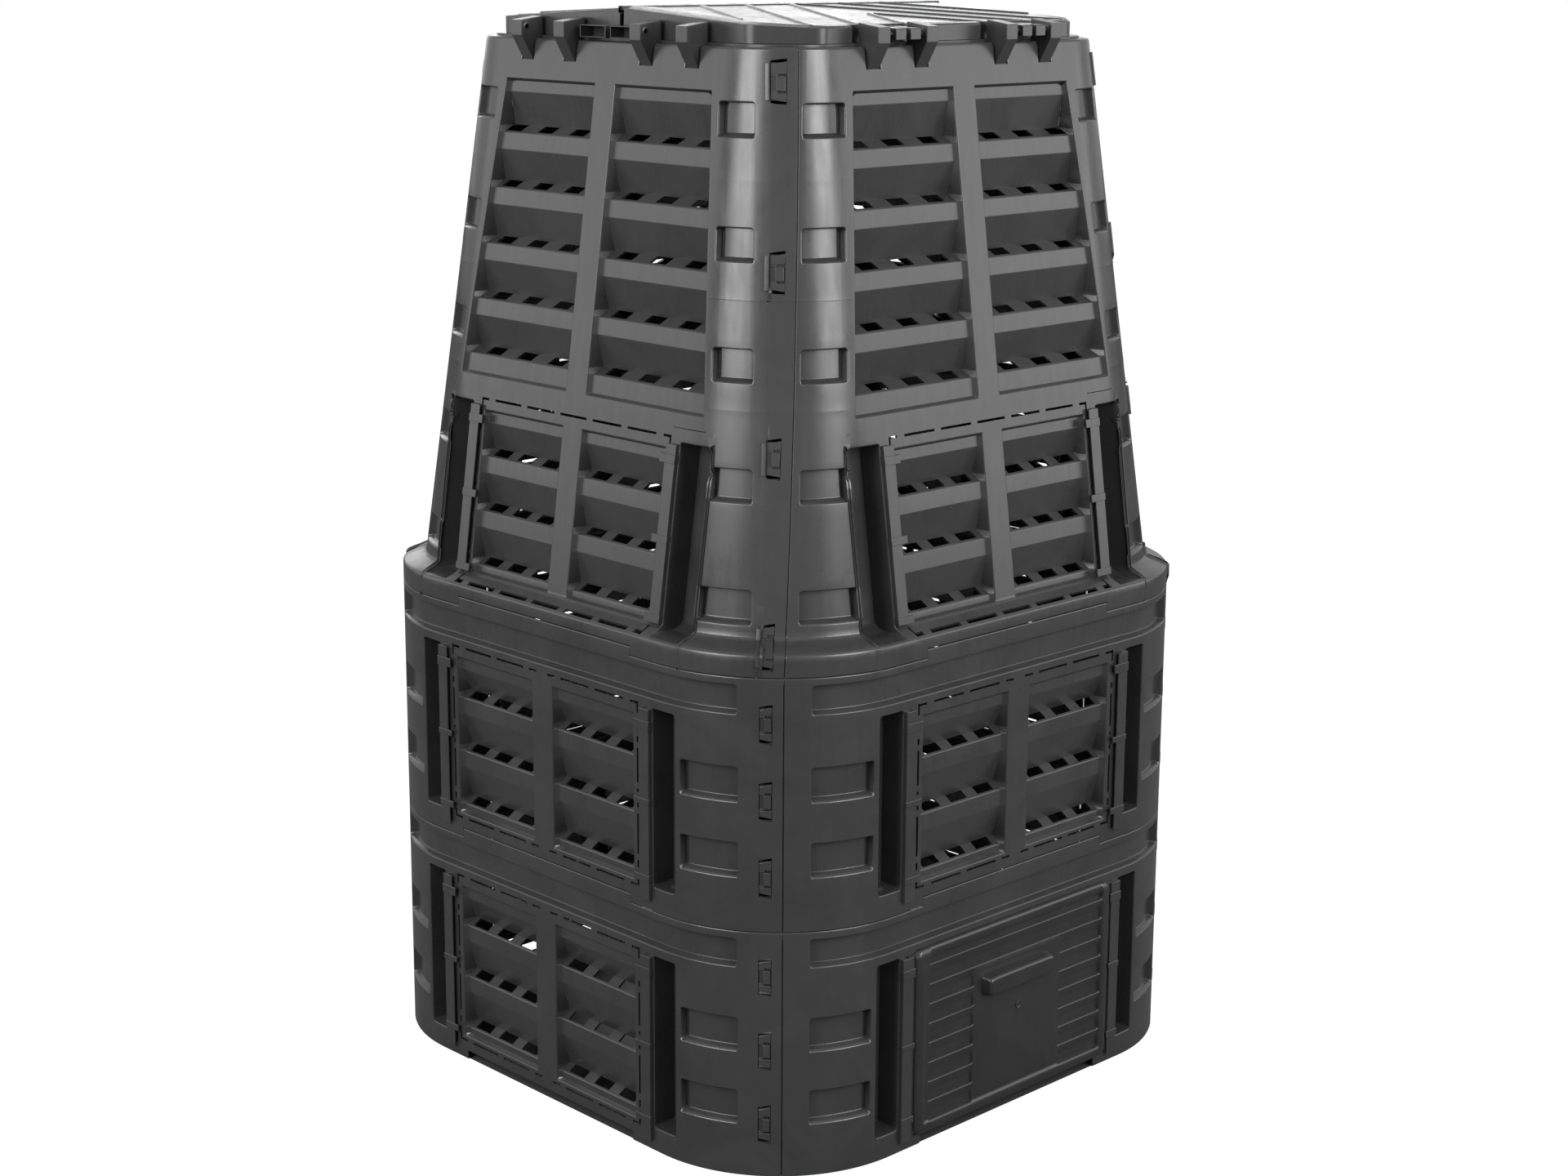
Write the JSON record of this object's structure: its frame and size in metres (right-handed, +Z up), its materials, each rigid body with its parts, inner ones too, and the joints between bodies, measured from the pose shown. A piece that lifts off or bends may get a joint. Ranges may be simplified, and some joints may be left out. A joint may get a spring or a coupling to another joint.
{
  "type": "compost bin with lid",
  "caption": "Square dark plastic compost bin with rounded louvred tiers, a tapered top, a split hinged lid and a sliding hatch at the foot.",
  "frame": {"origin": "centre of the bounding box on the ground plane, under the middle of the bin", "axes": "+Z up, the front with the sliding hatch looks along -Y, +X is the bin's right seen from the front"},
  "size_m": [0.8074, 0.8212, 1.3089],
  "materials": {
    "wall_plastic": "satin, lightly grained",
    "lid_plastic": "satin, lightly grained",
    "door_plastic": "satin",
    "pin_plastic": "satin"
  },
  "bodies": {
    "bin": {"lower_wall_front": "wall_plastic", "lower_wall_left": "wall_plastic", "lower_wall_back": "wall_plastic", "lower_wall_right": "wall_plastic", "middle_wall_front": "wall_plastic", "middle_wall_left": "wall_plastic", "middle_wall_back": "wall_plastic", "middle_wall_right": "wall_plastic", "upper_wall_front": "wall_plastic", "upper_wall_left": "wall_plastic", "upper_wall_back": "wall_plastic", "upper_wall_right": "wall_plastic", "lock_peg_middle_front_left": "pin_plastic", "lock_peg_middle_front_right": "pin_plastic", "lock_peg_middle_left_left": "pin_plastic", "lock_peg_middle_left_right": "pin_plastic", "lock_peg_middle_back_left": "pin_plastic", "lock_peg_middle_back_right": "pin_plastic", "lock_peg_middle_right_left": "pin_plastic", "lock_peg_middle_right_right": "pin_plastic", "lock_peg_upper_front_left": "pin_plastic", "lock_peg_upper_front_right": "pin_plastic", "lock_peg_upper_left_left": "pin_plastic", "lock_peg_upper_left_right": "pin_plastic", "lock_peg_upper_back_left": "pin_plastic", "lock_peg_upper_back_right": "pin_plastic", "lock_peg_upper_right_left": "pin_plastic", "lock_peg_upper_right_right": "pin_plastic", "hinge_pin_front_left": "pin_plastic", "hinge_pin_front_right": "pin_plastic", "hinge_pin_back_left": "pin_plastic", "hinge_pin_back_right": "pin_plastic"},
    "front_flap": {"lid_flap_front": "lid_plastic"},
    "back_flap": {"lid_flap_back": "lid_plastic"},
    "hatch": {"hatch_door": "door_plastic"}
  },
  "joints": [
    {"name": "front_flap_hinge", "type": "hinge", "parent": "bin", "child": "front_flap", "pos_m": [0, -0.2894, 1.2818], "axis": [1, 0, 0], "range_deg": [0, 240]},
    {"name": "back_flap_hinge", "type": "hinge", "parent": "bin", "child": "back_flap", "pos_m": [0, 0.3032, 1.2818], "axis": [-1, 0, 0], "range_deg": [0, 240]},
    {"name": "hatch_slide", "type": "slide", "parent": "bin", "child": "hatch", "axis": [0, 0, 1], "range_m": [0, 0.22]}
  ]
}
